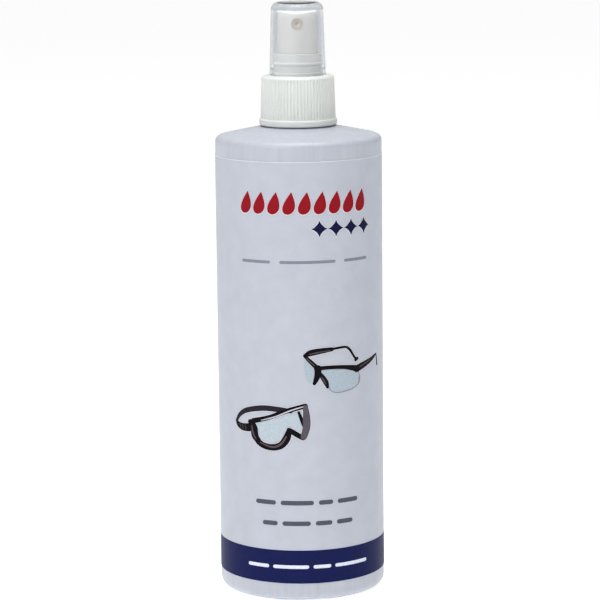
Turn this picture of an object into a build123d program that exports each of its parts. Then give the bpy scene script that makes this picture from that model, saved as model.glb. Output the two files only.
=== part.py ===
"""A 16 oz cylinder bottle of lens cleaner with a finger-pressed fine-mist sprayer.

Millimetres, +Z up, origin at the centre of the base. The nozzle faces -Y and +X is to its right.
The bottle, the label and the contents stand still. The closure screws off the bottle's neck and
lifts the pump with it. The actuator presses down and turns on the pump, and the overcap pulls off.
"""

import os
from math import sqrt

from build123d import *

# --- bottle -------------------------------------------------------------------------------------
body_r = 31.0
wall = 1.0
foot_wall = 1.2
foot_inner_r = 26.6
foot_lip_width = 1.0
foot_lip_height = 0.5
foot_lip_rounding = 0.8
foot_outer_rounding = 3.0
foot_inner_rounding = 1.0
push_up = 3.2
push_up_r = 20.0
push_up_sag = 0.5
push_up_rounding = 12.0
shoulder_corner_z = 170.54
shoulder_slope = 0.2128
shoulder_rounding = 2.4
parting_azimuth = 10.0
notch_width = 9.2
notch_height = 0.6
pinch_off_length = 34.0
pinch_off_width = 1.2
pinch_off_height = 0.5

# --- neck and its thread ------------------------------------------------------------------------
neck_r = 10.85
neck_bore_r = 9.6
neck_foot_rounding = 0.8
neck_foot_inner_rounding = 1.2
lip_z = 189.8
lip_rounding = 0.3
thread_pitch = 3.175
thread_turns = 1.5
neck_thread_r = 11.9
neck_thread_top_z = 187.6
thread_root_width = 1.9
thread_crest_width = 0.9
thread_overlap = 0.3

# --- label --------------------------------------------------------------------------------------
label_thickness = 0.1
label_low_z = 7.0
label_high_z = 164.0
label_seam_gap = 2.4

# --- contents -----------------------------------------------------------------------------------
fill_z = 167.5
fluid_gap = 0.1
fluid_foot_rounding = 0.4
fluid_pump_gap = 0.35
fluid_tail_gap = 0.3
fluid_step_gap = 1.2
fluid_tube_gap = 1.5

# --- closure ------------------------------------------------------------------------------------
closure_low_z = 174.6
closure_high_z = 193.0
closure_top_thickness = 1.2
closure_bead_r = 14.5
closure_bead_height = 2.2
closure_bead_slope = 0.3
closure_bead_rounding = 0.7
closure_wall_low_r = 14.0
closure_wall_high_r = 13.45
closure_top_rounding = 1.2
closure_inner_r = 12.35
closure_lead_in = 0.4
closure_lead_in_height = 0.6
closure_thread_r = 11.25
closure_thread_lift = 0.2
closure_hole_r = 6.9
rib_count = 68
groove_width = 0.62
groove_depth = 0.3
groove_foot_gap = 0.2

# --- pump housing -------------------------------------------------------------------------------
flange_r = 11.1
flange_thickness = 1.0
gasket_thickness = 1.0
gasket_bore_gap = 0.15
collar_r = 5.5
collar_top_z = 198.1
collar_bead_r = 5.9
collar_bead_low_z = 195.3
collar_bead_high_z = 195.7
collar_bead_catch = 0.5
collar_bead_lead_in = 0.9
pump_bore_r = 4.2
pump_bore_low_z = 174.2
spring_bore_r = 3.5
spring_bore_outer_r = 4.8
spring_bore_step_z = 172.6
spring_seat_z = 166.9
ball_chamber_r = 2.45
ball_chamber_outer_r = 4.0
ball_chamber_step_z = 166.0
ball_throat_r = 1.3
ball_seat_z = 161.05
ball_throat_length = 1.0
ball_stop_r = 1.4
ball_stop_width = 0.7
ball_stop_thickness = 1.0
ball_stop_root = 0.3
tail_outer_r = 3.2
tail_step_z = 160.0
tail_low_z = 146.0
tail_socket_top_z = 158.0
tail_rounding = 0.4
vent_z = 186.3
vent_r = 0.4

# --- moving inner pieces ------------------------------------------------------------------------
ball_r = 1.985
ball_seat_gap = 0.08
running_gap = 0.05
snug_gap = 0.02
piston_low_z = 183.72
piston_high_z = 189.0
piston_waist_r = 3.3
piston_skirt_r = 2.8
piston_skirt_height = 1.6
piston_neck_height = 2.4
piston_neck_r = 3.2
piston_shoulder_drop = 1.5
lip_height = 1.3
lip_width = 0.4
lip_setback = 0.3
stem_r = 2.0
stem_bore_r = 1.1
stem_low_z = 186.0
stem_high_z = 210.4
stem_flange_r = 3.3
stem_flange_low_z = 196.9
stem_flange_gap = 0.05
rod_flange_low_z = 181.9
rod_flange_high_z = 183.0
rod_flange_r = 3.2
rod_flange_bevel = 0.4
rod_cone_r = 2.7
rod_shank_r = 1.6
rod_body_r = 2.1
rod_body_low_z = 178.2
rod_guide_r = 1.2
rod_guide_high_z = 177.0
rod_guide_rounding = 0.4
rod_tip_z = 173.0
spigot_high_z = 191.0
spigot_rounding = 0.3
spigot_flat_x = 0.9
spigot_flat_low_z = 185.0
return_wire_r = 0.3
return_coil_r = 2.75
return_turns = 7.5
valve_wire_r = 0.15
valve_coil_r = 2.45
valve_turns = 6.0
tube_r = 2.0
tube_bore_r = 1.35
tube_low_z = 6.2
tube_end_gap = 0.1
tube_cut_angle = 35.0

# --- chaplet ------------------------------------------------------------------------------------
chaplet_gap = 0.05
chaplet_stop_gap = 0.1
chaplet_foot_r = 9.1
chaplet_foot_height = 0.9
chaplet_r = 8.9
chaplet_bead_r = 9.2
chaplet_bead_z = 197.3
chaplet_bead_land = 0.5
chaplet_bead_height = 1.4
chaplet_high_z = 201.1
chaplet_inner_r = 8.15
chaplet_floor_z = 194.3
hub_r = 6.6
hub_high_z = 199.2
hub_stem_gap = 0.3

# --- actuator and nozzle ------------------------------------------------------------------------
actuator_low_z = 201.0
actuator_high_z = 216.9
actuator_low_r = 7.85
actuator_high_r = 7.2
actuator_wall = 0.95
actuator_skirt_inner_r = 7.0
actuator_ceiling_z = 215.2
actuator_low_rounding = 0.15
actuator_high_rounding = 0.7
actuator_inner_rounding = 0.8
boss_r = 3.3
boss_low_z = 205.3
scoop_radius = 27.0
scoop_depth = 0.95
nozzle_z = 212.0
nozzle_r = 2.2
nozzle_face_y = -6.85
nozzle_length = 3.2
nozzle_end_gap = 0.1
nozzle_face_thickness = 0.7
nozzle_post_r = 1.3
nozzle_post_setback = 0.85
nozzle_swirl_gap = 0.3
nozzle_housing_r = 3.1
nozzle_block_length = 6.6
channel_r = 0.9
channel_high_z = 213.9
feed_r = 0.45
feed_z = 213.6
feed_front_y = -4.65
feed_back_y = -0.2
orifice_r = 0.2
orifice_flare_r = 1.1
orifice_flare_depth = 0.4

# --- overcap ------------------------------------------------------------------------------------
overcap_low_r = 10.45
overcap_high_r = 9.6
overcap_high_z = 220.2
overcap_dome = 0.35
overcap_flat_r = 4.0
overcap_crown = 40.0
overcap_wall = 0.9
overcap_inner_rounding = 2.2
overcap_top_extra = 0.1
overcap_rounding = 3.0
overcap_grip_high_r = 9.35
overcap_grip_low_r = 9.5
overcap_bead_r = 9.25
overcap_bead_z = 196.0
overcap_bead_land = 0.4
overcap_bead_height = 1.8

# --- shared by several pieces -------------------------------------------------------------------
soft_edge = 0.3
fine_edge = 0.2
overrun = 2.0


def turn(corners, mode=Mode.ADD):
    """Revolves a closed outline about the vertical axis. A corner is (radius, height), and a
    third number rounds it."""
    points = [corner[:2] for corner in corners]
    rounds = [corner[2] if len(corner) > 2 else 0 for corner in corners]
    with BuildSketch(Plane.XZ) as outline:
        with BuildLine():
            FilletPolyline(*points, radius=rounds, close=True)
        make_face()
    revolve(outline.sketch, axis=Axis.Z, mode=mode)


def ring(inner_r, outer_r, low_z, high_z, mode=Mode.ADD):
    """A plain ring, or a disc where inner_r is 0."""
    turn([(inner_r, low_z), (outer_r, low_z), (outer_r, high_z), (inner_r, high_z)], mode)


def step(from_r, to_r, high_z):
    """The two corners of a 45 degree step from one radius to another that ends at high_z."""
    return [(from_r, high_z - abs(to_r - from_r)), (to_r, high_z)]


def coil(coil_r, wire_r, low_z, high_z, turns):
    """A round wire wound as a compression spring, with both ends ground flat."""
    pitch = (high_z - low_z) / turns
    with BuildLine() as centre_line:
        Helix(pitch=pitch, height=high_z - low_z, radius=coil_r, center=(0, 0, low_z))
    path = centre_line.line
    start = Plane(origin=path @ 0, z_dir=path % 0, x_dir=(1, 0, 0))
    with BuildSketch(start) as wire:
        Circle(wire_r)
    sweep(wire.sketch, path=path, is_frenet=True)
    split(bisect_by=Plane.XY.offset(low_z), keep=Keep.TOP)
    split(bisect_by=Plane.XY.offset(high_z), keep=Keep.BOTTOM)


def thread(root_r, crest_r, start_z):
    """A single-start right-hand screw ridge that stands on a wall of radius root_r, outwards
    where crest_r is larger and inwards where it is smaller. Its flanks run on into the wall."""
    height = crest_r - root_r
    buried = -thread_overlap if height > 0 else thread_overlap
    flank_slope = (thread_root_width - thread_crest_width) / abs(height)
    buried_width = thread_root_width + flank_slope * thread_overlap
    with BuildLine() as centre_line:
        Helix(thread_pitch, thread_pitch * thread_turns, root_r, center=(0, 0, start_z))
    path = centre_line.line
    start = Plane(origin=path @ 0, z_dir=path % 0, x_dir=(1, 0, 0))
    with BuildSketch(start) as section:
        with BuildLine():
            Polyline(
                (buried, -buried_width / 2),
                (height, -thread_crest_width / 2),
                (height, thread_crest_width / 2),
                (buried, buried_width / 2),
                close=True,
            )
        make_face()
    sweep(section.sketch, path=path, is_frenet=True)


def finish(part, label):
    """Labels a finished piece and writes it under the same name."""
    part.label = label
    export_step(part, f"parts/{label}.step")


os.makedirs("parts", exist_ok=True)

# --- bottle: blow-moulded shell with a footed base, a conical shoulder and a threaded neck ------
neck_foot_z = shoulder_corner_z + shoulder_slope * (body_r - neck_r)
shoulder_drop = wall * sqrt(1 + shoulder_slope**2)
inner_corner_z = shoulder_corner_z + shoulder_slope * wall - shoulder_drop
inner_neck_z = inner_corner_z + shoulder_slope * (body_r - wall - neck_bore_r)
neck_thread_low_z = neck_thread_top_z - thread_pitch * thread_turns
parting_turn = Rotation(0, 0, parting_azimuth)

with BuildPart() as bottle:
    turn(
        [
            (0, push_up),
            (push_up_r, push_up - push_up_sag, push_up_rounding),
            (foot_inner_r - foot_lip_width, foot_lip_height, foot_lip_rounding),
            (foot_inner_r, 0),
            (body_r, 0, foot_outer_rounding),
            (body_r, shoulder_corner_z, shoulder_rounding),
            (neck_r, neck_foot_z, neck_foot_rounding),
            (neck_r, lip_z, lip_rounding),
            (neck_bore_r, lip_z, lip_rounding),
            (neck_bore_r, inner_neck_z, neck_foot_inner_rounding),
            (body_r - wall, inner_corner_z, shoulder_rounding - wall),
            (body_r - wall, foot_wall, foot_outer_rounding - wall),
            (foot_inner_r + foot_wall, foot_wall, foot_inner_rounding),
            (push_up_r, push_up + wall - push_up_sag, push_up_rounding),
            (0, push_up + wall),
        ]
    )
    thread(neck_r, neck_thread_r, neck_thread_low_z)
    # the pinch-off weld across the push-up, and the notches where it leaves the foot ring
    with Locations(parting_turn):
        with Locations((0, 0, push_up)):
            Box(pinch_off_width, pinch_off_length, 2 * pinch_off_height)
        Box(notch_width, 2 * body_r + overrun, 2 * notch_height, mode=Mode.SUBTRACT)
finish(bottle.part, "bottle")

# --- label: one film wrapped round the body, with its two edges a little apart at the back ------
with BuildPart() as label:
    ring(body_r, body_r + label_thickness, label_low_z, label_high_z)
    with Locations((0, body_r, (label_low_z + label_high_z) / 2)):
        Box(label_seam_gap, 2 * overrun, label_high_z - label_low_z, mode=Mode.SUBTRACT)
finish(label.part, "label")

# --- cleaning fluid: fills the bottle to just below the shoulder, round the pump and its tube ---
fluid_r = body_r - wall - fluid_gap
fluid_low_z = foot_wall + fluid_gap
ball_room_low_z = tail_step_z - fluid_step_gap
spring_room_low_z = ball_chamber_step_z - fluid_step_gap
with BuildPart() as cleaning_fluid:
    turn(
        [
            (0, push_up + wall + fluid_gap),
            (push_up_r, push_up + wall - push_up_sag + fluid_gap, push_up_rounding),
            (foot_inner_r + foot_wall, fluid_low_z, fluid_foot_rounding),
            (fluid_r, fluid_low_z, foot_outer_rounding - wall - fluid_gap),
            (fluid_r, fill_z),
            (0, fill_z),
        ]
    )
    ring(0, tube_r + fluid_pump_gap, tube_low_z - fluid_tube_gap, tail_low_z, Mode.SUBTRACT)
    ring(0, tail_outer_r + fluid_pump_gap, tail_low_z - fluid_tail_gap, fill_z, Mode.SUBTRACT)
    ring(0, ball_chamber_outer_r + fluid_pump_gap, ball_room_low_z, fill_z, Mode.SUBTRACT)
    ring(0, spring_bore_outer_r + fluid_pump_gap, spring_room_low_z, fill_z, Mode.SUBTRACT)
finish(cleaning_fluid.part, "cleaning_fluid")

# --- closure: ribbed screw cap, open at the top round the pump ----------------------------------
closure_ceiling_z = closure_high_z - closure_top_thickness
wall_foot_z = closure_low_z + closure_bead_height + closure_bead_slope
groove_low_z = wall_foot_z + groove_foot_gap
groove_run = closure_ceiling_z - groove_low_z
groove_start = Plane(
    origin=(closure_wall_low_r, 0, groove_low_z),
    x_dir=(0, -1, 0),
    z_dir=(closure_wall_high_r - closure_wall_low_r, 0, groove_run),
)
closure_thread_low_z = neck_thread_low_z - thread_pitch / 2 + closure_thread_lift

with BuildPart() as groove:
    with BuildSketch(groove_start):
        # twice as deep and wide as the groove, because half of it stands outside the wall
        Polygon(
            (-groove_width, groove_depth),
            (0, -groove_depth),
            (groove_width, groove_depth),
            align=None,
        )
    extrude(amount=groove_run)

with BuildPart() as closure:
    turn(
        [
            (closure_inner_r + closure_lead_in, closure_low_z),
            (closure_bead_r, closure_low_z, closure_bead_rounding),
            (closure_bead_r, closure_low_z + closure_bead_height, closure_bead_rounding),
            (closure_wall_low_r, wall_foot_z, fine_edge),
            (closure_wall_high_r, closure_high_z, closure_top_rounding),
            (closure_hole_r, closure_high_z, fine_edge),
            (closure_hole_r, closure_ceiling_z),
            (closure_inner_r, closure_ceiling_z),
            (closure_inner_r, closure_low_z + closure_lead_in_height),
        ]
    )
    with PolarLocations(0, rib_count):
        add(groove.part, mode=Mode.SUBTRACT)
    thread(closure_inner_r, closure_thread_r, closure_thread_low_z)
finish(closure.part, "closure")

# --- neck gasket: foam washer between the lip and the pump's flange -----------------------------
flange_low_z = lip_z + gasket_thickness
flange_high_z = flange_low_z + flange_thickness
with BuildPart() as neck_gasket:
    ring(collar_r + gasket_bore_gap, flange_r, lip_z, flange_low_z)
finish(neck_gasket.part, "neck_gasket")

# --- pump housing: the cylinder, hung from its flange, with the suction valve at its foot -------
ball_chamber_low_z = ball_seat_z + ball_chamber_r - ball_throat_r
with BuildPart() as pump_housing:
    turn(
        [
            (0, tail_low_z),
            (tail_outer_r, tail_low_z, tail_rounding),
            *step(tail_outer_r, ball_chamber_outer_r, tail_step_z),
            *step(ball_chamber_outer_r, spring_bore_outer_r, ball_chamber_step_z),
            *step(spring_bore_outer_r, collar_r, spring_bore_step_z),
            (collar_r, flange_low_z),
            (flange_r, flange_low_z, fine_edge),
            (flange_r, flange_high_z, fine_edge),
            (collar_r, flange_high_z),
            (collar_r, collar_bead_low_z - collar_bead_catch),
            (collar_bead_r, collar_bead_low_z),
            (collar_bead_r, collar_bead_high_z),
            (collar_r, collar_bead_high_z + collar_bead_lead_in),
            (collar_r, collar_top_z, soft_edge),
            (0, collar_top_z),
        ]
    )
    turn(
        [
            (0, ball_seat_z - ball_throat_length),
            (ball_throat_r, ball_seat_z - ball_throat_length),
            (ball_throat_r, ball_seat_z),
            (ball_chamber_r, ball_chamber_low_z),
            (ball_chamber_r, spring_seat_z),
            (spring_bore_r, spring_seat_z),
            *step(spring_bore_r, pump_bore_r, pump_bore_low_z),
            (pump_bore_r, collar_top_z),
            (0, collar_top_z),
        ],
        Mode.SUBTRACT,
    )
    ring(0, ball_throat_r, tail_socket_top_z - ball_throat_length, ball_seat_z, Mode.SUBTRACT)
    ring(0, tube_r + snug_gap, tail_low_z, tail_socket_top_z, Mode.SUBTRACT)
    # four short stops keep the ball in its chamber and leave the liquid room to pass
    ball_stop_length = ball_chamber_r + ball_stop_root - ball_stop_r
    with PolarLocations(ball_stop_r + ball_stop_length / 2, 4):
        with Locations((0, 0, spring_seat_z - ball_stop_thickness / 2)):
            Box(ball_stop_length, ball_stop_width, ball_stop_thickness)
    # the vent that lets air into the bottle
    with Locations(Location((0, -collar_r, vent_z), (90, 0, 0))):
        Cylinder(vent_r, 2 * (collar_r - pump_bore_r) + 2 * soft_edge, mode=Mode.SUBTRACT)
finish(pump_housing.part, "pump_housing")

# --- dip tube: straight, pushed up into the housing's tail, its foot cut at a slant -------------
with BuildPart() as dip_tube:
    ring(tube_bore_r, tube_r, tube_low_z, tail_socket_top_z - tube_end_gap)
    foot_edge = Plane((0, -tube_r, tube_low_z))
    split(bisect_by=foot_edge.rotated((tube_cut_angle, 0, 0)), keep=Keep.TOP)
finish(dip_tube.part, "dip_tube")

# --- inlet ball: rests on the conical seat ------------------------------------------------------
seat_apex_z = ball_seat_z - ball_throat_r
ball_z = seat_apex_z + (ball_r + ball_seat_gap) * sqrt(2)
with BuildPart() as inlet_ball:
    with Locations((0, 0, ball_z)):
        Sphere(ball_r)
finish(inlet_ball.part, "inlet_ball")

# --- return spring: between the housing's shelf and the valve rod's flange ----------------------
with BuildPart() as return_spring:
    coil(return_coil_r, return_wire_r, spring_seat_z, rod_flange_low_z, return_turns)
finish(return_spring.part, "return_spring")

# --- valve rod: cone that shuts the piston's lower edge, guide in the spring, spigot in the stem ---
cone_run = rod_cone_r - rod_shank_r
spigot_r = stem_bore_r - snug_gap
spigot_low_z = stem_low_z - running_gap
flat_high_z = spigot_high_z + fine_edge
flat_mid_x = (spigot_flat_x + stem_r) / 2
flat_mid_z = (spigot_flat_low_z + flat_high_z) / 2
flat_length = 2 * rod_shank_r + fine_edge
with BuildPart() as valve_rod:
    turn(
        [
            (0, rod_tip_z),
            (rod_guide_r, rod_tip_z, rod_guide_rounding),
            (rod_guide_r, rod_guide_high_z),
            (rod_body_r, rod_body_low_z),
            (rod_body_r, rod_flange_low_z),
            (rod_flange_r, rod_flange_low_z),
            (rod_flange_r, rod_flange_high_z - rod_flange_bevel),
            (rod_cone_r, rod_flange_high_z),
            (rod_shank_r, rod_flange_high_z + cone_run),
            (rod_shank_r, spigot_low_z),
            (spigot_r, spigot_low_z),
            (spigot_r, spigot_high_z, spigot_rounding),
            (0, spigot_high_z),
        ]
    )
    # two flats let the liquid past the spigot into the stem
    for side in (-1, 1):
        with Locations((side * flat_mid_x, 0, flat_mid_z)):
            Box(
                stem_r - spigot_flat_x,
                flat_length,
                flat_high_z - spigot_flat_low_z,
                mode=Mode.SUBTRACT,
            )
finish(valve_rod.part, "valve_rod")

# --- piston: double-lipped, slides in the pump's bore and on the stem ---------------------------
piston_lip_r = pump_bore_r - running_gap
piston_bore_r = stem_r + running_gap
with BuildPart() as piston:
    turn(
        [
            (piston_bore_r, piston_low_z),
            (piston_skirt_r, piston_low_z),
            (piston_skirt_r + fine_edge, piston_low_z + piston_skirt_height),
            (piston_lip_r - lip_width, piston_low_z + lip_setback),
            (piston_lip_r, piston_low_z + lip_setback),
            (piston_lip_r, piston_low_z + lip_height),
            (piston_waist_r, piston_low_z + piston_neck_height),
            (piston_waist_r, piston_high_z - piston_neck_height),
            (piston_lip_r, piston_high_z - lip_height),
            (piston_lip_r, piston_high_z - lip_setback),
            (piston_lip_r - lip_width, piston_high_z - lip_setback),
            (piston_neck_r, piston_high_z - piston_shoulder_drop),
            (piston_neck_r, piston_high_z),
            (piston_bore_r, piston_high_z),
        ]
    )
finish(piston.part, "piston")

# --- valve spring: between the piston's top and the stem's flange -------------------------------
with BuildPart() as valve_spring:
    coil(valve_coil_r, valve_wire_r, piston_high_z, stem_flange_low_z, valve_turns)
finish(valve_spring.part, "valve_spring")

# --- stem: hollow, with the flange that the chaplet stops ---------------------------------------
chaplet_stop_z = collar_top_z + chaplet_stop_gap
with BuildPart() as stem:
    turn(
        [
            (stem_bore_r, stem_low_z),
            (stem_r, stem_low_z),
            (stem_r, stem_flange_low_z),
            (stem_flange_r, stem_flange_low_z),
            (stem_flange_r, chaplet_stop_z - stem_flange_gap),
            (stem_r, chaplet_stop_z - stem_flange_gap),
            (stem_r, stem_high_z, soft_edge),
            (stem_bore_r, stem_high_z),
        ]
    )
finish(stem.part, "stem")

# --- chaplet: cup that snaps on the pump's collar, clamps the closure and guides the actuator ---
chaplet_foot_z = closure_high_z + chaplet_gap
snap_r = collar_r + snug_gap
with BuildPart() as chaplet:
    turn(
        [
            (snap_r, flange_high_z + snug_gap),
            (hub_r, flange_high_z + snug_gap),
            (hub_r, chaplet_foot_z),
            (chaplet_foot_r, chaplet_foot_z, fine_edge),
            (chaplet_foot_r, chaplet_foot_z + chaplet_foot_height, fine_edge / 2),
            (chaplet_r, chaplet_foot_z + chaplet_foot_height + fine_edge),
            (chaplet_r, chaplet_bead_z - chaplet_bead_height / 2),
            (chaplet_bead_r, chaplet_bead_z - chaplet_bead_land / 2, fine_edge / 2),
            (chaplet_bead_r, chaplet_bead_z + chaplet_bead_land / 2, fine_edge / 2),
            (chaplet_r, chaplet_bead_z + chaplet_bead_height / 2),
            (chaplet_r, chaplet_high_z, soft_edge),
            (chaplet_inner_r, chaplet_high_z, fine_edge),
            (chaplet_inner_r, chaplet_floor_z, soft_edge),
            (hub_r, chaplet_floor_z, soft_edge),
            (hub_r, hub_high_z, soft_edge),
            (stem_r + hub_stem_gap, hub_high_z),
            (stem_r + hub_stem_gap, chaplet_stop_z),
            (snap_r, chaplet_stop_z),
            (snap_r, collar_bead_high_z + collar_bead_lead_in + 2 * running_gap),
            (collar_bead_r + running_gap, collar_bead_high_z + running_gap),
            (collar_bead_r + running_gap, collar_bead_low_z - running_gap),
            (snap_r, collar_bead_low_z - collar_bead_catch - 2 * running_gap),
        ]
    )
finish(chaplet.part, "chaplet")

# --- actuator: hollow button with a finger scoop, a stem socket and a nozzle socket -------------
scoop_axis_z = actuator_high_z - scoop_depth + scoop_radius
with BuildPart() as actuator:
    turn(
        [
            (0, actuator_low_z),
            (actuator_low_r, actuator_low_z, actuator_low_rounding),
            (actuator_high_r, actuator_high_z, actuator_high_rounding),
            (0, actuator_high_z),
        ]
    )
    # the trough for the fingertip runs from front to back
    with Locations(Location((0, 0, scoop_axis_z), (90, 0, 0))):
        Cylinder(scoop_radius, 4 * actuator_low_r, mode=Mode.SUBTRACT)
    turn(
        [
            (0, actuator_low_z),
            (actuator_skirt_inner_r, actuator_low_z),
            (actuator_high_r - actuator_wall, actuator_ceiling_z, actuator_inner_rounding),
            (0, actuator_ceiling_z),
        ],
        Mode.SUBTRACT,
    )
    # boss for the stem, up to the top wall
    ring(0, boss_r, boss_low_z, actuator_ceiling_z)
    # socket for the nozzle, from the boss to the front wall and up to the top wall
    with Locations(Location((0, -nozzle_block_length / 2, nozzle_z), (90, 0, 0))):
        Cylinder(nozzle_housing_r, nozzle_block_length)
    with Locations((0, -nozzle_block_length / 2, (nozzle_z + actuator_ceiling_z) / 2)):
        Box(2 * nozzle_housing_r, nozzle_block_length, actuator_ceiling_z - nozzle_z)
    ring(0, stem_r + snug_gap, boss_low_z, stem_high_z + running_gap, Mode.SUBTRACT)
    ring(0, channel_r, stem_high_z, channel_high_z, Mode.SUBTRACT)
    with BuildSketch(Plane.XZ.offset(-nozzle_face_y - nozzle_length)):
        with Locations((0, nozzle_z)):
            Circle(nozzle_r)
            Circle(nozzle_post_r, mode=Mode.SUBTRACT)
    extrude(amount=nozzle_length + overrun, mode=Mode.SUBTRACT)
    with BuildSketch(Plane.XZ.offset(-nozzle_face_y - nozzle_post_setback)):
        with Locations((0, nozzle_z)):
            Circle(nozzle_r)
    extrude(amount=nozzle_post_setback + overrun, mode=Mode.SUBTRACT)
    # the feed from the stem's channel to the ring-shaped gap round the nozzle's post
    with Locations(Location((0, (feed_front_y + feed_back_y) / 2, feed_z), (90, 0, 0))):
        Cylinder(feed_r, feed_back_y - feed_front_y, mode=Mode.SUBTRACT)
finish(actuator.part, "actuator")

# --- nozzle insert: cup pushed over the post, with the swirl gap and the orifice ----------------
nozzle_front = Plane.XZ.offset(-nozzle_face_y)
with BuildPart() as nozzle_insert:
    with BuildSketch(nozzle_front):
        with Locations((0, nozzle_z)):
            Circle(nozzle_r - snug_gap)
    extrude(amount=nozzle_end_gap - nozzle_length)
    with BuildSketch(nozzle_front.offset(-nozzle_face_thickness)):
        with Locations((0, nozzle_z)):
            Circle(nozzle_post_r + nozzle_swirl_gap)
    extrude(amount=-nozzle_length, mode=Mode.SUBTRACT)
    with Locations(Location((0, nozzle_face_y + orifice_flare_depth / 2, nozzle_z), (90, 0, 0))):
        Cone(orifice_r, orifice_flare_r, orifice_flare_depth + snug_gap, mode=Mode.SUBTRACT)
        Cylinder(orifice_r, overrun, mode=Mode.SUBTRACT)
finish(nozzle_insert.part, "nozzle_insert")

# --- overcap: clear dust cap that stands on the closure and grips the chaplet -------------------
overcap_low_z = closure_high_z + snug_gap
overcap_inner_top_z = overcap_high_z - overcap_wall - overcap_top_extra
overcap_inner_high_r = overcap_high_r - overcap_wall
with BuildPart() as overcap:
    turn(
        [
            (overcap_low_r - overcap_wall, overcap_low_z),
            (overcap_low_r, overcap_low_z, fine_edge),
            (overcap_high_r, overcap_high_z - overcap_dome, overcap_rounding),
            (overcap_flat_r, overcap_high_z, overcap_crown),
            (0, overcap_high_z),
            (0, overcap_inner_top_z),
            (overcap_flat_r, overcap_inner_top_z, overcap_crown),
            (overcap_inner_high_r, overcap_inner_top_z - overcap_dome, overcap_inner_rounding),
            (overcap_grip_high_r, overcap_bead_z + overcap_bead_height / 2),
            (overcap_bead_r, overcap_bead_z + overcap_bead_land / 2),
            (overcap_bead_r, overcap_bead_z - overcap_bead_land / 2),
            (overcap_grip_low_r, overcap_bead_z - overcap_bead_height / 2),
        ]
    )
finish(overcap.part, "overcap")
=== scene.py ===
import math

import bmesh
import bpy
from mathutils import Matrix, Vector


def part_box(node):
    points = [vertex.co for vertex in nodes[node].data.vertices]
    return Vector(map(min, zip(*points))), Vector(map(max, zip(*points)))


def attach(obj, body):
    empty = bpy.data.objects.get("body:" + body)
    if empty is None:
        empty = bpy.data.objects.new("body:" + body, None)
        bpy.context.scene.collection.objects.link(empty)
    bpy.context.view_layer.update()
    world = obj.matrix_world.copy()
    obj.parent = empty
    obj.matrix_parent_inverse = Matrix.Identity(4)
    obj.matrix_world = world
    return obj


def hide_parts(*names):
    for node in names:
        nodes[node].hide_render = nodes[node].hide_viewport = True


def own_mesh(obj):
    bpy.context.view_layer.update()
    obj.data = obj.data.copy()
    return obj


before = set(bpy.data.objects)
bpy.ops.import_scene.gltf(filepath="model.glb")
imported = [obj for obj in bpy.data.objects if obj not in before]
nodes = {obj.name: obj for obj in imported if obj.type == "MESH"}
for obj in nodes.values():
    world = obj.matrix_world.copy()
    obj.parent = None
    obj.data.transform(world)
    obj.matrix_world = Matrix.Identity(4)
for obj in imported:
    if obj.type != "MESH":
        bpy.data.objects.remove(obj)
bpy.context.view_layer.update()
scene = bpy.context.scene
MM = 0.001

# --- places taken from the frame, in millimetres ------------------------------------------------
LABEL_LOW, LABEL_HIGH = (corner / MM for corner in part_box("label"))
BODY_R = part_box("bottle")[1].x / MM
OVERCAP_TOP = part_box("overcap")[1].z / MM
CAP_ROUNDING_LOW, CAP_ROUNDING_HIGH = OVERCAP_TOP - 6.2, OVERCAP_TOP - 1.2
LABEL_R = LABEL_HIGH.x
SEAM_HALF_GAP = 1.25
LABEL_HALF_ARC = math.pi * LABEL_R - SEAM_HALF_GAP

# --- camera: in front, a little above the bottle's top, looking down on it ----------------------
CAMERA_PLACE = (0, -976.3 * MM, 271.5 * MM)
CAMERA_DOWN = math.radians(9.487)
CAMERA_ROLL = math.radians(-0.59)
LENS_MM = 158.07


def main_camera():
    """The camera that sees the object from the front, a little from above."""
    lens = bpy.data.cameras.new("camera")
    lens.lens = LENS_MM
    lens.clip_start = 0.05
    camera = bpy.data.objects.new("camera", lens)
    camera.matrix_world = (
        Matrix.Translation(CAMERA_PLACE)
        @ Matrix.Rotation(math.pi / 2 - CAMERA_DOWN, 4, "X")
        @ Matrix.Rotation(CAMERA_ROLL, 4, "Z")
    )
    scene.collection.objects.link(camera)
    scene.camera = camera
    scene.view_settings.view_transform = "Standard"


# --- studio, in metres: white surround, pale floor, soft lights ---------------------------------
def grey(level):
    return (level, level, level, 1)


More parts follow.
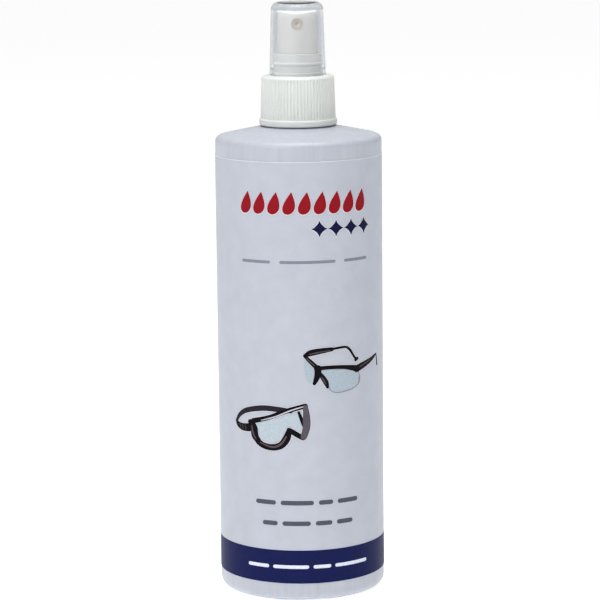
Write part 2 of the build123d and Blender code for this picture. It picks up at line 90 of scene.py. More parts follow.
def surround(seen, through, front, left, right):
    """A white backdrop, with a level of light on the object from each direction. Behind is as
    bright as in front. Clear plastic shows it at the level through from every side."""
    world = bpy.data.worlds.new("studio")
    scene.world = world
    world.use_nodes = True
    tree = world.node_tree
    tree.nodes.clear()
    out = tree.nodes.new("ShaderNodeOutputWorld")
    mix = tree.nodes.new("ShaderNodeMixShader")
    path = tree.nodes.new("ShaderNodeLightPath")
    shown = tree.nodes.new("ShaderNodeBackground")
    behind = tree.nodes.new("ShaderNodeBackground")
    clear = tree.nodes.new("ShaderNodeMixShader")
    light = tree.nodes.new("ShaderNodeBackground")
    place = tree.nodes.new("ShaderNodeTexCoord")
    split = tree.nodes.new("ShaderNodeSeparateXYZ")
    sideways = tree.nodes.new("ShaderNodeMapRange")
    ramp = tree.nodes.new("ShaderNodeValToRGB")
    shown.inputs["Color"].default_value = grey(seen)
    behind.inputs["Color"].default_value = grey(through)
    sideways.inputs["From Min"].default_value = -1
    ramp.color_ramp.elements[0].color = grey(left)
    ramp.color_ramp.elements[1].color = grey(right)
    ramp.color_ramp.elements.new(0.5).color = grey(front)
    tree.links.new(place.outputs["Generated"], split.inputs["Vector"])
    tree.links.new(split.outputs["X"], sideways.inputs["Value"])
    tree.links.new(sideways.outputs["Result"], ramp.inputs["Fac"])
    tree.links.new(ramp.outputs["Color"], light.inputs["Color"])
    tree.links.new(path.outputs["Is Camera Ray"], mix.inputs["Fac"])
    tree.links.new(path.outputs["Is Transmission Ray"], clear.inputs["Fac"])
    tree.links.new(light.outputs["Background"], clear.inputs[1])
    tree.links.new(behind.outputs["Background"], clear.inputs[2])
    tree.links.new(clear.outputs["Shader"], mix.inputs[1])
    tree.links.new(shown.outputs["Background"], mix.inputs[2])
    tree.links.new(mix.outputs["Shader"], out.inputs["Surface"])


def soft_light(name, place, size, power, target=(0, 0, 0.12)):
    """A square area light, of so many watts, that faces target."""
    data = bpy.data.lights.new(name, "AREA")
    data.shape = "SQUARE"
    data.size = size
    data.energy = power
    light = bpy.data.objects.new(name, data)
    scene.collection.objects.link(light)
    light.location = place
    aim = Vector(target) - Vector(place)
    light.rotation_euler = aim.to_track_quat("-Z", "Y").to_euler()


def plain_floor(size, glow):
    """A white square that glows a little, so that it runs into the backdrop."""
    half = size / 2
    corners = [(-half, -half, 0), (half, -half, 0), (half, half, 0), (-half, half, 0)]
    mesh = bpy.data.meshes.new("floor")
    mesh.from_pydata(corners, [], [(0, 1, 2, 3)])
    floor = bpy.data.objects.new("floor", mesh)
    scene.collection.objects.link(floor)
    material = principled(
        "floor_white",
        0.9,
        Base_Color=grey(0.9),
        Specular_IOR_Level=0.1,
        Emission_Color=grey(1),
        Emission_Strength=glow,
    )[0]
    mesh.materials.append(material)


# --- shader parts -------------------------------------------------------------------------------
def principled(name, roughness, **constants):
    """A new material, its node tree and its Principled shader, with the constants on its sockets."""
    material = bpy.data.materials.new(name)
    material.use_nodes = True
    tree = material.node_tree
    shader = tree.nodes["Principled BSDF"]
    shader.inputs["Roughness"].default_value = roughness
    for socket, value in constants.items():
        shader.inputs[socket.replace("_", " ")].default_value = value
    return material, tree, shader


def noise(tree, grain_mm, stretch=(1, 1, 1), detail=3.0):
    """Noise in the object's own space. A grain is about grain_mm across, and longer along an
    axis whose stretch is larger."""
    place = tree.nodes.new("ShaderNodeTexCoord")
    scale = tree.nodes.new("ShaderNodeMapping")
    texture = tree.nodes.new("ShaderNodeTexNoise")
    scale.inputs["Scale"].default_value = [1 / (grain_mm * MM * along) for along in stretch]
    texture.inputs["Scale"].default_value = 1.0
    texture.inputs["Detail"].default_value = detail
    tree.links.new(place.outputs["Object"], scale.inputs["Vector"])
    tree.links.new(scale.outputs["Vector"], texture.inputs["Vector"])
    return texture.outputs["Fac"]


def height_blend(tree, low_mm, high_mm):
    """0 below one height of the object, 1 above another, and smooth between them."""
    place = tree.nodes.new("ShaderNodeTexCoord")
    split = tree.nodes.new("ShaderNodeSeparateXYZ")
    blend = tree.nodes.new("ShaderNodeMapRange")
    blend.interpolation_type = "SMOOTHSTEP"
    blend.inputs["From Min"].default_value = low_mm * MM
    blend.inputs["From Max"].default_value = high_mm * MM
    tree.links.new(place.outputs["Object"], split.inputs["Vector"])
    tree.links.new(split.outputs["Z"], blend.inputs["Value"])
    return blend.outputs["Result"]


def tint(tree, shader, factor, dark, light, low=0.3, high=0.7):
    """The base colour runs from dark to light with the factor."""
    ramp = tree.nodes.new("ShaderNodeValToRGB")
    ramp.color_ramp.elements[0].position = low
    ramp.color_ramp.elements[1].position = high
    ramp.color_ramp.elements[0].color = (*dark, 1)
    ramp.color_ramp.elements[1].color = (*light, 1)
    tree.links.new(factor, ramp.inputs["Fac"])
    tree.links.new(ramp.outputs["Color"], shader.inputs["Base Color"])


def uneven_gloss(tree, shader, factor, smooth, rough):
    """The roughness runs from smooth to rough with the factor."""
    spread = tree.nodes.new("ShaderNodeMapRange")
    spread.inputs["From Min"].default_value = 0.3
    spread.inputs["From Max"].default_value = 0.7
    spread.inputs["To Min"].default_value = smooth
    spread.inputs["To Max"].default_value = rough
    tree.links.new(factor, spread.inputs["Value"])
    tree.links.new(spread.outputs["Result"], shader.inputs["Roughness"])


def relief(tree, shader, *layers):
    """Bumps on top of each other. A layer is (height factor, depth in mm)."""
    below = None
    for height, depth_mm in layers:
        bump = tree.nodes.new("ShaderNodeBump")
        bump.inputs["Distance"].default_value = depth_mm * MM
        tree.links.new(height, bump.inputs["Height"])
        if below:
            tree.links.new(below, bump.inputs["Normal"])
        below = bump.outputs["Normal"]
    tree.links.new(below, shader.inputs["Normal"])


def between(colour, amount):
    """A colour a little darker and the same colour a little lighter."""
    return [c * (1 - amount) for c in colour], [min(c * (1 + amount), 1) for c in colour]


def from_print(red, green, blue):
    """A screen colour, 0 to 255, as scene linear."""
    return [((c / 255 + 0.055) / 1.055) ** 2.4 for c in (red, green, blue)]


# --- materials ----------------------------------------------------------------------------------
def blown_hdpe():
    """Milky blow-moulded polyethylene: waxy, with faint flow streaks up the wall."""
    material, tree, shader = principled(
        "blown_hdpe",
        0.38,
        IOR=1.53,
        Subsurface_Weight=0.25,
        Subsurface_Radius=(0.9, 1.0, 1.2),
        Subsurface_Scale=0.002,
    )
    streaks = noise(tree, 2.2, stretch=(1, 1, 14))
    mottle = noise(tree, 9.0)
    orange_peel = noise(tree, 0.9, detail=4.0)
    tint(tree, shader, streaks, (0.415, 0.440, 0.500), (0.455, 0.480, 0.535))
    uneven_gloss(tree, shader, mottle, 0.32, 0.44)
    relief(tree, shader, (streaks, 0.05), (orange_peel, 0.025))
    return material


def label_film():
    """Silvery polypropylene label film with a satin face."""
    material, tree, shader = principled("label_film", 0.42, Specular_IOR_Level=0.2)
    mottle = noise(tree, 6.0, detail=5.0)
    fibre = noise(tree, 0.35, stretch=(1, 1, 3))
    tint(tree, shader, mottle, (0.430, 0.453, 0.516), (0.462, 0.486, 0.550))
    uneven_gloss(tree, shader, fibre, 0.38, 0.48)
    relief(tree, shader, (mottle, 0.02), (fibre, 0.006))
    return material


def ink(name, colour, roughness=0.45, variation=0.12):
    """Screen-printed ink, also used for the painted highlight on the label's top edge: slightly
    speckled, and flatter than the film below.
    """
    material, tree, shader = principled(name, roughness, Specular_IOR_Level=0.05)
    speckle = noise(tree, 0.5, detail=4.0)
    tint(tree, shader, speckle, *between(colour, variation))
    uneven_gloss(tree, shader, speckle, roughness - 0.05, roughness + 0.05)
    relief(tree, shader, (speckle, 0.004))
    return material


def moulded(name, colour, roughness, texture_mm=0.35, texture_depth_mm=0.012, glow=0.1):
    """Injection-moulded plastic with a spark-eroded texture and soft flow marks."""
    material, tree, shader = principled(
        name,
        roughness,
        IOR=1.49,
        Subsurface_Weight=glow,
        Subsurface_Radius=(1.0, 1.0, 1.0),
        Subsurface_Scale=0.001,
    )
    flow = noise(tree, 5.0, stretch=(1, 1, 2.5))
    texture = noise(tree, texture_mm, detail=5.0)
    tint(tree, shader, flow, *between(colour, 0.025))
    uneven_gloss(tree, shader, texture, roughness - 0.06, roughness + 0.08)
    relief(tree, shader, (flow, 0.03), (texture, texture_depth_mm))
    return material


def clear_styrene():
    """Clear crystal plastic with faint flow waves and a few dull rubbed places. The wall is
    greyer than the top: painted shade on the wall, painted light on the top."""
    material, tree, shader = principled(
        "clear_styrene", 0.12, IOR=1.25, Transmission_Weight=1.0
    )
    waves = noise(tree, 4.0, stretch=(1, 1, 3))
    rubbed = noise(tree, 2.0, detail=5.0)
    painted_light_up_the_cap = height_blend(tree, CAP_ROUNDING_LOW, CAP_ROUNDING_HIGH)
    # painted light and shade: the clear plastic is coloured greyer up the wall and lighter on the
    # top
    tint(tree, shader, painted_light_up_the_cap, (0.73, 0.75, 0.775), (0.87, 0.895, 0.925), low=0.0, high=1.0)
    uneven_gloss(tree, shader, rubbed, 0.08, 0.16)
    relief(tree, shader, (waves, 0.02))
    return material


def milky_tube(name, colour):
    """Extruded polyethylene tube, seen through, with drawn lines along it."""
    material, tree, shader = principled(name, 0.25, IOR=1.5, Transmission_Weight=0.35)
    lines = noise(tree, 0.5, stretch=(1, 1, 30))
    tint(tree, shader, lines, *between(colour, 0.05))
    uneven_gloss(tree, shader, lines, 0.2, 0.32)
    relief(tree, shader, (lines, 0.01))
    return material


def cleaning_liquid():
    """Thin, almost clear watery liquid with a blue cast and a few cloudy wisps."""
    material, tree, shader = principled(
        "cleaning_liquid", 0.02, IOR=1.34, Transmission_Weight=0.9
    )
    wisps = noise(tree, 12.0, detail=2.0)
    tint(tree, shader, wisps, (0.66, 0.80, 0.93), (0.74, 0.86, 0.96))
    relief(tree, shader, (wisps, 0.05))
    return material


def foam():
    """Closed-cell foam with small open pores on its cut edge."""
    material, tree, shader = principled("foam", 0.8, Sheen_Weight=0.15)
    place = tree.nodes.new("ShaderNodeTexCoord")
    pores = tree.nodes.new("ShaderNodeTexVoronoi")
    pores.inputs["Scale"].default_value = 1 / (0.3 * MM)
    tree.links.new(place.outputs["Object"], pores.inputs["Vector"])
    tint(tree, shader, pores.outputs["Distance"], (0.62, 0.62, 0.60), (0.82, 0.82, 0.80))
    relief(tree, shader, (pores.outputs["Distance"], 0.06))
    return material


def steel(name, colour, smooth, rough, grain_mm, stretch=(1, 1, 1)):
    """Stainless steel with fine marks from polishing or drawing."""
    material, tree, shader = principled(name, rough, Metallic=1.0)
    marks = noise(tree, grain_mm, stretch=stretch, detail=4.0)
    tint(tree, shader, marks, *between(colour, 0.06))
    uneven_gloss(tree, shader, marks, smooth, rough)
    relief(tree, shader, (marks, 0.002))
    return material


WHITE = (0.67, 0.69, 0.67)
WARM_WHITE = (0.76, 0.745, 0.70)

main_camera()
surround(seen=1.05, through=0.75, front=0.66, left=0.1, right=0.0)
plain_floor(size=40, glow=0.6)
soft_light("key", (-0.75, -0.95, 0.75), size=0.7, power=4.1)
soft_light("fill", (0.9, -0.8, 0.3), size=0.8, power=0.2)
soft_light("top", (0, -0.12, 1.1), size=0.8, power=10)

closure_white = moulded("closure_white", WHITE, 0.42, texture_mm=0.3)
pump_white = moulded("pump_white", (0.80, 0.81, 0.80), 0.32, texture_depth_mm=0.005)
spring_steel = steel("spring_steel", (0.62, 0.62, 0.64), 0.22, 0.38, 0.12)
carried_over = {
    "bottle": blown_hdpe(),
    "label": label_film(),
    "cleaning_fluid": cleaning_liquid(),
    "closure": closure_white,
    "chaplet": moulded("chaplet_white", (0.79, 0.775, 0.74), 0.40, texture_mm=0.3),
    "neck_gasket": foam(),
    "pump_housing": pump_white,
    "valve_rod": pump_white,
    "piston": pump_white,
    "stem": pump_white,
    "dip_tube": milky_tube("dip_tube_pe", (0.80, 0.83, 0.86)),
    "inlet_ball": steel("ball_steel", (0.72, 0.72, 0.74), 0.04, 0.12, 0.4),
    "return_spring": spring_steel,
    "valve_spring": spring_steel,
    "actuator": moulded("actuator_white", WARM_WHITE, 0.36, texture_depth_mm=0.008),
    "nozzle_insert": moulded("nozzle_beige", (0.66, 0.60, 0.52), 0.34, texture_depth_mm=0.006),
    "overcap": clear_styrene(),
}
for name, material in carried_over.items():
    nodes[name].material_slots[0].material = material
nodes["overcap"].visible_shadow = False

# --- flat shapes on the label: (distance round the bottle from its front, height), in mm --------
CURVE_STEPS = 5
ROUND_END_STEPS = 6
MOTIF_POINTS = 24
DROP_WIDTH = 0.38
DROP_TAPER = 1.3
DROP_LEAN = 0.18
SPARKLE_HOLLOW = 3.2
SPARKLE_BLUNT = 0.25


def curve_through(points, closed=False):
    """A smooth line through the points (Catmull-Rom)."""
    count = len(points)
    spans = count if closed else count - 1
    line = []
    for i in range(spans):
        if closed:
            p = [Vector(points[(i + k) % count]) for k in (-1, 0, 1, 2)]
        else:
            p = [Vector(points[min(max(i + k, 0), count - 1)]) for k in (-1, 0, 1, 2)]
        for step in range(CURVE_STEPS):
            t = step / CURVE_STEPS
            line.append(
                0.5
                * (
                    2 * p[1]
                    + (p[2] - p[0]) * t
                    + (2 * p[0] - 5 * p[1] + 4 * p[2] - p[3]) * t**2
                    + (3 * p[1] - 3 * p[2] + p[3] - p[0]) * t**3
                )
            )
    if not closed:
        line.append(Vector(points[-1]))
    return line


def patch(points):
    """The smooth closed outline through the points."""
    return [tuple(p) for p in curve_through(points, closed=True)]


def stroke(points, grow=0.0):
    """The outline of a pen stroke with round ends. A point is (round, up, width)."""
    line = curve_through(points)
    left, right = [], []
    for i, p in enumerate(line):
        ahead = line[min(i + 1, len(line) - 1)] - line[max(i - 1, 0)]
        side = Vector((-ahead.y, ahead.x)).normalized() * (p.z / 2 + grow)
        left.append(Vector((p.x, p.y)) + side)
        right.append(Vector((p.x, p.y)) - side)
    caps = []
    for end, edge in ((line[-1], left[-1]), (line[0], right[0])):
        centre = Vector((end.x, end.y))
        turns = [-math.pi * k / ROUND_END_STEPS for k in range(1, ROUND_END_STEPS)]
        caps.append([centre + Matrix.Rotation(t, 2) @ (edge - centre) for t in turns])
    return [tuple(p) for p in left + caps[0] + right[::-1] + caps[1]]


def bar(start, middle, length, height):
    """A straight bar with round ends."""
    radius = height / 2
    outline = []
    for centre, quarter in ((start + length - radius, -0.5), (start + radius, 0.5)):
        for k in range(ROUND_END_STEPS + 1):
            turn = math.pi * (quarter + k / ROUND_END_STEPS)
            outline.append((centre + radius * math.cos(turn), middle + radius * math.sin(turn)))
    return outline


def droplet(centre, height, grow=0.0):
    """A drop with its point up, leaned to the right."""
    outline = []
    scale = 1 + 2 * grow / height
    for k in range(MOTIF_POINTS):
        t = 2 * math.pi * k / MOTIF_POINTS
        across = -DROP_WIDTH * height * math.sin(t) * math.sin(t / 2) ** DROP_TAPER
        up = height / 2 * math.cos(t)
        outline.append((centre[0] + scale * (across + DROP_LEAN * up), centre[1] + scale * up))
    return outline


def sparkle(centre, size, grow=0.0):
    """A four-pointed star with hollow sides."""
    outline = []
    reach = size / 2 + grow
    blunt = SPARKLE_BLUNT + grow / 2
    for k in range(MOTIF_POINTS):
        t = 2 * math.pi * k / MOTIF_POINTS
        across, up = (
            reach * math.copysign(abs(part) ** SPARKLE_HOLLOW, part) + blunt * part
            for part in (math.cos(t), math.sin(t))
        )
        outline.append((centre[0] + across, centre[1] + up))
    return outline


# --- thin solids of print and of painted highlight, wrapped round the label ---------------------
# WRAP_STEP is the widest flat facet. PRINT_LAYER is the height of one layer on the next, and
# PRINT_NUDGE keeps outlines of one colour that overlap from lying in the same surface.
WRAP_STEP = 1.5
PRINT_DEPTH = 0.03
PRINT_LAYER = 0.012
PRINT_NUDGE = 0.0015


def wrap(across, out, up):
    """The place of a point of the print that stands out of the label by out."""
    angle = across / LABEL_R
    radius = LABEL_R + out
    return radius * math.sin(angle) * MM, -radius * math.cos(angle) * MM, up * MM


def thin_solid(outline, out):
    """Corners and faces of a closed film that stands out of the label by out."""
    flat = bmesh.new()
    flat.faces.new([flat.verts.new((across, 0, up)) for across, up in outline])
    bmesh.ops.triangulate(flat, faces=flat.faces[:])
    first = math.ceil(min(p[0] for p in outline) / WRAP_STEP)
    last = math.floor(max(p[0] for p in outline) / WRAP_STEP)
    for cut in range(first, last + 1):
        everything = flat.verts[:] + flat.edges[:] + flat.faces[:]
        bmesh.ops.bisect_plane(
            flat, geom=everything, plane_co=(cut * WRAP_STEP, 0, 0), plane_no=(1, 0, 0), dist=1e-5
        )
    flat.verts.index_update()
    count = len(flat.verts)
    top = [[v.index for v in face.verts] for face in flat.faces]
    corners = [wrap(v.co.x, out, v.co.z) for v in flat.verts]
    corners += [wrap(v.co.x, -PRINT_DEPTH, v.co.z) for v in flat.verts]
    flat.free()
    edges = {(face[i - 1], face[i]) for face in top for i in range(len(face))}
    rim = [(a, b) for a, b in edges if (b, a) not in edges]
    faces = top + [[count + i for i in reversed(face)] for face in top]
    faces += [[b, a, count + a, count + b] for a, b in sorted(rim)]
    return corners, faces


def printed(name, outlines, material, layer):
    """One colour on the label (each print colour, and the painted highlight on its top edge): all
    its outlines in one piece that rides on the bottle. Higher layers lie on lower ones."""
    corners, faces = [], []
    for index, outline in enumerate(outlines):
        some_corners, some_faces = thin_solid(outline, layer * PRINT_LAYER + index * PRINT_NUDGE)
        faces += [[len(corners) + i for i in face] for face in some_faces]
        corners += some_corners
    return solid_piece(name, corners, faces, material, "bottle")


def solid_piece(name, corners, faces, material, body):
    """A closed piece that rides on a body and has the given material."""
    mesh = bpy.data.meshes.new(name)
    mesh.from_pydata(corners, [], faces)
    work = bmesh.new()
    work.from_mesh(mesh)
    bmesh.ops.recalc_face_normals(work, faces=work.faces)
    work.to_mesh(mesh)
    work.free()
    mesh.materials.append(material)
    piece = bpy.data.objects.new(name, mesh)
    scene.collection.objects.link(piece)
    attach(piece, body)
    return piece


def tube_faces(rings, ring):
    """The faces of a closed tube that has so many rings, and so many corners in each ring."""
    faces = []
    for i in range(rings - 1):
        for k in range(ring):
            a, b = i * ring + k, i * ring + (k + 1) % ring
            faces.append([a, b, b + ring, a + ring])
    faces.append(list(range(ring)))
    faces.append([rings * ring - 1 - k for k in range(ring)])
    return faces


def band(low, high):
    """The outline of a band that runs from the label's one edge to the other."""
    arc = LABEL_HALF_ARC
    return [(-arc, low), (arc, low), (arc, high), (-arc, high)]


def bars(starts_and_lengths, middle, height):
    """A row of round-ended bars where a label has a line of words."""
    return [bar(start, middle, length, height) for start, length in starts_and_lengths]


# --- safety glasses, drawn from the front right -------------------------------------------------
GLASSES_FRAME = [
    [(1.6, 92.9, 1.3), (3.6, 93.8, 2.3), (7.4, 94.4, 2.1), (11.8, 94.8, 1.5)],
    [(11.4, 94.8, 0.9), (17.0, 95.2, 0.9), (19.2, 94.0, 1.0), (20.9, 91.6, 0.9), (22.2, 90.0, 1.0)],
    [(22.0, 89.9, 1.4), (22.8, 90.3, 1.2)],
    [(1.4, 92.8, 1.2), (3.4, 90.8, 1.5), (5.2, 89.0, 1.7), (6.6, 87.7, 1.8)],
    [(5.6, 87.9, 1.6), (11.0, 88.1, 1.4), (17.5, 87.6, 1.6), (23.0, 86.4, 2.6)],
    [(22.4, 86.4, 2.7), (27.0, 87.7, 2.3), (31.0, 88.8, 1.6), (34.6, 90.3, 0.5)],
    [(34.6, 90.1, 0.5), (35.2, 88.0, 0.6), (35.4, 86.0, 0.8)],
    [(6.4, 87.9, 2.7), (6.2, 85.8, 2.4), (5.7, 84.0, 2.0), (4.9, 82.4, 1.3)],
    [(6.8, 86.4, 1.2), (8.2, 84.4, 1.8), (9.4, 82.4, 1.9), (9.9, 80.8, 1.1)],
]
GLASSES_SHINE = [
    [(2.1, 91.9, 0.3), (3.6, 90.4, 0.4), (5.0, 89.1, 0.3)],
    [(3.2, 93.4, 0.3), (7.0, 94.0, 0.4), (11.0, 94.4, 0.3)],
    [(7.7, 84.7, 0.3), (8.7, 83.2, 0.5), (9.3, 82.0, 0.3)],
    [(24.0, 86.9, 0.3), (27.0, 87.9, 0.4), (30.0, 88.8, 0.3)],
]
GLASSES_NEAR_LENS = [
    (7.6, 87.2), (13.5, 87.3), (19.0, 86.8), (22.6, 85.6), (23.8, 83.4), (23.4, 81.2),
    (20.6, 79.6), (15.6, 78.7), (11.6, 79.2), (10.2, 80.9), (8.6, 84.0),
]
GLASSES_FAR_LENS = [(1.6, 91.2), (5.0, 88.0), (5.2, 85.0), (3.8, 82.8), (2.4, 83.4), (1.5, 86.8)]
GLASSES_RIM = [
    (23.0, 85.6, 0.2), (24.0, 83.5, 0.35), (23.6, 81.1, 0.3), (20.7, 79.4, 0.25),
    (15.6, 78.5, 0.3), (12.0, 78.9, 0.3), (10.4, 80.6, 0.25),
]

# --- goggles, drawn from the front left ---------------------------------------------------------
GOGGLES_STRAP = [
    (-27.0, 66.9, 1.2), (-25.2, 69.4, 1.7), (-21.4, 71.5, 2.0), (-14.4, 72.9, 2.1),
    (-8.0, 72.7, 2.0), (-3.8, 72.2, 1.6),
]
GOGGLES_FRAME = [
    [(-27.3, 66.8, 0.9), (-26.0, 65.5, 2.1), (-23.6, 64.8, 2.8), (-20.6, 65.0, 3.1)],
    [(-20.2, 67.2, 2.0), (-18.5, 65.2, 3.1), (-18.2, 62.4, 2.9), (-16.6, 60.4, 2.4)],
    [
        (-18.2, 63.4, 2.6), (-16.8, 60.4, 2.4), (-14.2, 58.8, 2.3), (-10.6, 58.4, 2.4),
        (-7.5, 59.4, 2.7), (-5.5, 61.9, 2.9), (-4.5, 64.8, 2.1),
    ],
    [(-4.6, 65.2, 1.7), (-3.2, 64.4, 1.9), (-1.4, 63.3, 2.0), (0.6, 62.2, 1.9)],
    [(-18.8, 67.7, 2.0), (-12.0, 69.6, 1.7), (-5.4, 72.2, 1.9), (1.6, 74.2, 1.8)],
]
GOGGLES_SIDE = [(1.6, 73.6, 2.0), (2.0, 69.8, 2.6), (1.9, 66.2, 2.8), (0.9, 62.6, 2.4)]
GOGGLES_INNER_SIDE = [(-0.9, 71.8, 0.9), (0.2, 68.8, 1.3), (0.9, 66.2, 0.7)]
GOGGLES_SHINE = [
    [(-15.8, 59.9, 0.4), (-11.0, 58.5, 0.7), (-7.6, 59.8, 0.8), (-5.6, 62.6, 0.6)],
    [(-19.4, 65.8, 0.5), (-18.9, 63.2, 0.7), (-17.6, 61.0, 0.4)],
    [(-25.4, 66.0, 0.25), (-25.0, 64.5, 0.25)],
    [(-24.0, 65.7, 0.25), (-23.6, 63.9, 0.25)],
    [(-22.6, 65.8, 0.25), (-22.2, 63.8, 0.25)],
]
GOGGLES_VENTS = [
    [(-15.2, 68.3, 0.3), (-9.6, 70.0, 0.45), (-4.0, 72.4, 0.5), (0.6, 73.9, 0.4)],
]
GOGGLES_LENS = [
    (-16.8, 67.0), (-8.4, 69.6), (-2.2, 71.6), (-0.1, 68.2), (-0.7, 65.4), (-2.6, 65.4),
    (-4.2, 66.8), (-6.2, 64.5), (-7.8, 61.4), (-11.0, 60.5), (-14.8, 61.5), (-16.8, 64.0),
]

# --- the print's plain motifs: places round the bottle and heights, in mm -----------------------
def row(first, pitch, count, middle):
    """The middles of motifs in a row."""
    return [(first + pitch * k, middle) for k in range(count)]


RED_DROPS = row(first=-20.6, pitch=5.7, count=9, middle=149.0)
DROP_HEIGHT = 8.4
NAVY_SPARKLES = row(first=7.4, pitch=6.4, count=4, middle=139.4)
SPARKLE_SIZE = 5.8
# each bar is (start, length)
GREY_LINE = [(-23.0, 12.0), (-7.5, 21.0), (17.0, 11.2)]
SLOGAN_HIGH = [(-18.0, 8.2), (-8.0, 12.4), (6.2, 5.6), (13.6, 8.8)]
SLOGAN_LOW = [(-15.2, 6.0), (-7.4, 10.6), (5.0, 6.4), (13.2, 6.8)]
BAND_LINE = [(-21.8, 9.0), (-11.2, 13.6), (4.0, 6.8), (12.4, 14.6)]
BAND_LOW, BAND_HIGH = 7.02, 19.6
# RIM_LOW and RIM_HIGH bound a strip of painted highlight along the label's top edge
RIM_LOW, RIM_HIGH = LABEL_HIGH.z - 0.35, LABEL_HIGH.z

# --- the print and a painted highlight, one piece for each colour; a higher layer lies on a lower one ---
FRAME_HALO = 0.2
MOTIF_HALO = 0.3


def strokes(lines, grow=0.0):
    """The outlines of several pen strokes."""
    return [stroke(points, grow) for points in lines]


printed(
    "label_band",
    [band(BAND_LOW, BAND_HIGH)],
    ink("ink_navy", from_print(20, 27, 74)),
    layer=2,
)
# painted highlight: a light strip along the label's top edge, where the edge catches the light
printed(
    "label_rim_highlight",
    [band(RIM_LOW, RIM_HIGH)],
    ink("painted_highlight_label_edge", from_print(206, 210, 219)),
    layer=1,
)
printed(
    "label_halo",
    strokes(GLASSES_FRAME + GOGGLES_FRAME + [GOGGLES_STRAP, GOGGLES_SIDE], grow=FRAME_HALO)
    + [droplet(middle, DROP_HEIGHT, grow=MOTIF_HALO) for middle in RED_DROPS]
    + [sparkle(middle, SPARKLE_SIZE, grow=MOTIF_HALO) for middle in NAVY_SPARKLES],
    ink("ink_white", from_print(214, 217, 225)),
    layer=1,
)
printed(
    "label_lenses",
    [patch(GLASSES_NEAR_LENS), patch(GLASSES_FAR_LENS)],
    ink("ink_lens_blue", from_print(164, 177, 187)),
    layer=6,
)
printed(
    "label_goggle_lens",
    [patch(GOGGLES_LENS)],
    ink("ink_lens_pale", from_print(174, 186, 195)),
    layer=6,
)
printed(
    "label_lens_rim",
    [stroke(GLASSES_RIM)],
    ink("ink_rim_grey", from_print(128, 132, 146)),
    layer=8,
)
printed(
    "label_frames",
    strokes(GLASSES_FRAME + GOGGLES_FRAME + [GOGGLES_INNER_SIDE]),
    ink("ink_black", from_print(14, 10, 16)),
    layer=10,
)
printed(
    "label_goggle_side",
    [stroke(GOGGLES_SIDE)],
    ink("ink_plum", from_print(84, 78, 86)),
    layer=12,
)
printed(
    "label_goggle_strap",
    [stroke(GOGGLES_STRAP)],
    ink("ink_slate", from_print(38, 34, 44)),
    layer=9,
)
printed(
    "label_frame_shine",
    strokes(GLASSES_SHINE + GOGGLES_SHINE),
    ink("ink_shine", from_print(84, 74, 78)),
    layer=13,
)
printed(
    "label_vents",
    strokes(GOGGLES_VENTS),
    ink("ink_pale", from_print(186, 184, 194)),
    layer=14,
)
printed(
    "label_drops",
    [droplet(middle, DROP_HEIGHT) for middle in RED_DROPS],
    ink("ink_red", from_print(138, 20, 30)),
    layer=10,
)
printed(
    "label_sparkles",
    [sparkle(middle, SPARKLE_SIZE) for middle in NAVY_SPARKLES],
    ink("ink_deep_navy", from_print(18, 22, 56)),
    layer=10,
)
printed(
    "label_grey_line",
    bars(GREY_LINE, middle=127.3, height=1.1),
    ink("ink_grey", from_print(126, 130, 142)),
    layer=2,
)
printed(
    "label_slogan",
    bars(SLOGAN_HIGH, middle=37.6, height=1.7) + bars(SLOGAN_LOW, middle=29.8, height=1.7),
    ink("ink_dark_grey", from_print(78, 82, 94)),
    layer=2,
)
printed(
    "label_band_line",
    bars(BAND_LINE, middle=13.3, height=1.3),
    ink("ink_band_white", from_print(214, 218, 232)),
    layer=4,
)


# --- the bottle's parting line: a fine ridge over the shoulder and at the foot ------------------
PARTING_AZIMUTH = math.radians(10)
PARTING_LABEL_GAP_HIGH = 0.3
PARTING_LABEL_GAP_LOW = 0.2
PARTING_FOOT_Z = 3.3
RIDGE_WIDTH = 0.3
RIDGE_HEIGHT = 0.06
RIDGE_DEPTH = 0.05
# one cut through the ridge: (side, out of the wall)
RIDGE_SECTION = ((-1, -RIDGE_DEPTH), (-1, 0), (0, RIDGE_HEIGHT), (1, 0), (1, -RIDGE_DEPTH))
SHOULDER_CORNER_Z = 170.54
SHOULDER_SLOPE = 0.2128
SHOULDER_ROUNDING = 2.4
SHOULDER_STEPS = 8
NECK_FOOT_R = 12.0


def shoulder_line():
    """Points (radius, height, tilt) up the wall and over the shoulder. Tilt is where out is."""
    tilt_top = math.pi / 2 - math.atan(SHOULDER_SLOPE)
    arc_z = SHOULDER_CORNER_Z - SHOULDER_ROUNDING * math.tan(tilt_top / 2)
    arc_r = BODY_R - SHOULDER_ROUNDING
    line = [(BODY_R, LABEL_HIGH.z + PARTING_LABEL_GAP_HIGH, 0.0)]
    for k in range(SHOULDER_STEPS + 1):
        tilt = tilt_top * k / SHOULDER_STEPS
        radius = arc_r + SHOULDER_ROUNDING * math.cos(tilt)
        line.append((radius, arc_z + SHOULDER_ROUNDING * math.sin(tilt), tilt))
    top_z = SHOULDER_CORNER_Z + SHOULDER_SLOPE * (BODY_R - NECK_FOOT_R)
    line.append((NECK_FOOT_R, top_z, tilt_top))
    return line


def ridge(line, azimuth):
    """A closed bead along the line at one azimuth, counted from the front."""
    corners = []
    for radius, height, tilt in line:
        for side, out in RIDGE_SECTION:
            r = radius + out * math.cos(tilt)
            z = height + out * math.sin(tilt)
            place = Vector((side * RIDGE_WIDTH / 2, -r, z)) * MM
            corners.append(Matrix.Rotation(azimuth, 3, "Z") @ place)
    return corners, tube_faces(len(line), len(RIDGE_SECTION))


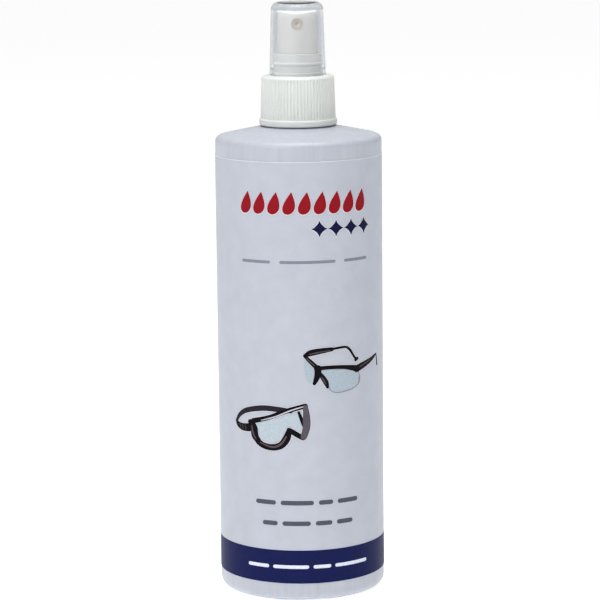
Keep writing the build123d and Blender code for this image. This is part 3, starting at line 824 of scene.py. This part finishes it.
def parting_line():
    """The ridge on both sides of the bottle, wherever the label doesn't cover it."""
    corners, faces = [], []
    foot_line = [(BODY_R, PARTING_FOOT_Z, 0.0), (BODY_R, LABEL_LOW.z - PARTING_LABEL_GAP_LOW, 0.0)]
    for azimuth in (PARTING_AZIMUTH, PARTING_AZIMUTH + math.pi):
        for line in (foot_line, shoulder_line()):
            some_corners, some_faces = ridge(line, azimuth)
            faces += [[len(corners) + i for i in face] for face in some_faces]
            corners += some_corners
    solid_piece("bottle_parting_line", corners, faces, carried_over["bottle"], "bottle")


parting_line()

# --- springs: a wound coil in the place of each CAD coil ----------------------------------------
STEPS_A_TURN = 36
STEPS_ROUND_WIRE = 10
SPRING_CLEARANCE = 0.01
# the rise of a closed turn, in wire radii
CLOSED_PITCH = 2.1


def coil_height(turn, turns, wire_r, low, high):
    """The height of the wire's centre. The first and last turns lie closed on their neighbours."""
    foot = low + wire_r + SPRING_CLEARANCE
    head = high - wire_r - SPRING_CLEARANCE
    closed = CLOSED_PITCH * wire_r
    if turn < 1:
        return foot + closed * turn
    if turn > turns - 1:
        return head - closed * (turns - turn)
    open_pitch = (head - foot - 2 * closed) / (turns - 2)
    return foot + closed + open_pitch * (turn - 1)


def coil(wire_r, turns, outer_r, low, high):
    """Corners and faces of a round wire wound between two heights."""
    corners = []
    rings = round(turns * STEPS_A_TURN) + 1
    for i in range(rings):
        angle = 2 * math.pi * i / STEPS_A_TURN
        height = coil_height(i / STEPS_A_TURN, turns, wire_r, low, high)
        for k in range(STEPS_ROUND_WIRE):
            round_wire = 2 * math.pi * k / STEPS_ROUND_WIRE
            radius = outer_r - wire_r + wire_r * math.cos(round_wire)
            up = height + wire_r * math.sin(round_wire)
            corners.append(Vector((radius * math.cos(angle), radius * math.sin(angle), up)) * MM)
    return corners, tube_faces(rings, STEPS_ROUND_WIRE)


def spring(node, body, wire_r, turns):
    """A wound spring in the place of a CAD coil, which is hidden. It rides on the body."""
    low_corner, high_corner = (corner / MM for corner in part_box(node))
    low, high = low_corner.z, high_corner.z
    corners, faces = coil(wire_r, turns, high_corner.x, low, high)
    piece = solid_piece(node + "_coil", corners, faces, spring_steel, body)
    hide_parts(node)
    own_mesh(piece)


spring(
    "return_spring",
    "spring",
    wire_r=0.3,
    turns=7.5,
)
spring(
    "valve_spring",
    "button",
    wire_r=0.15,
    turns=6,
)
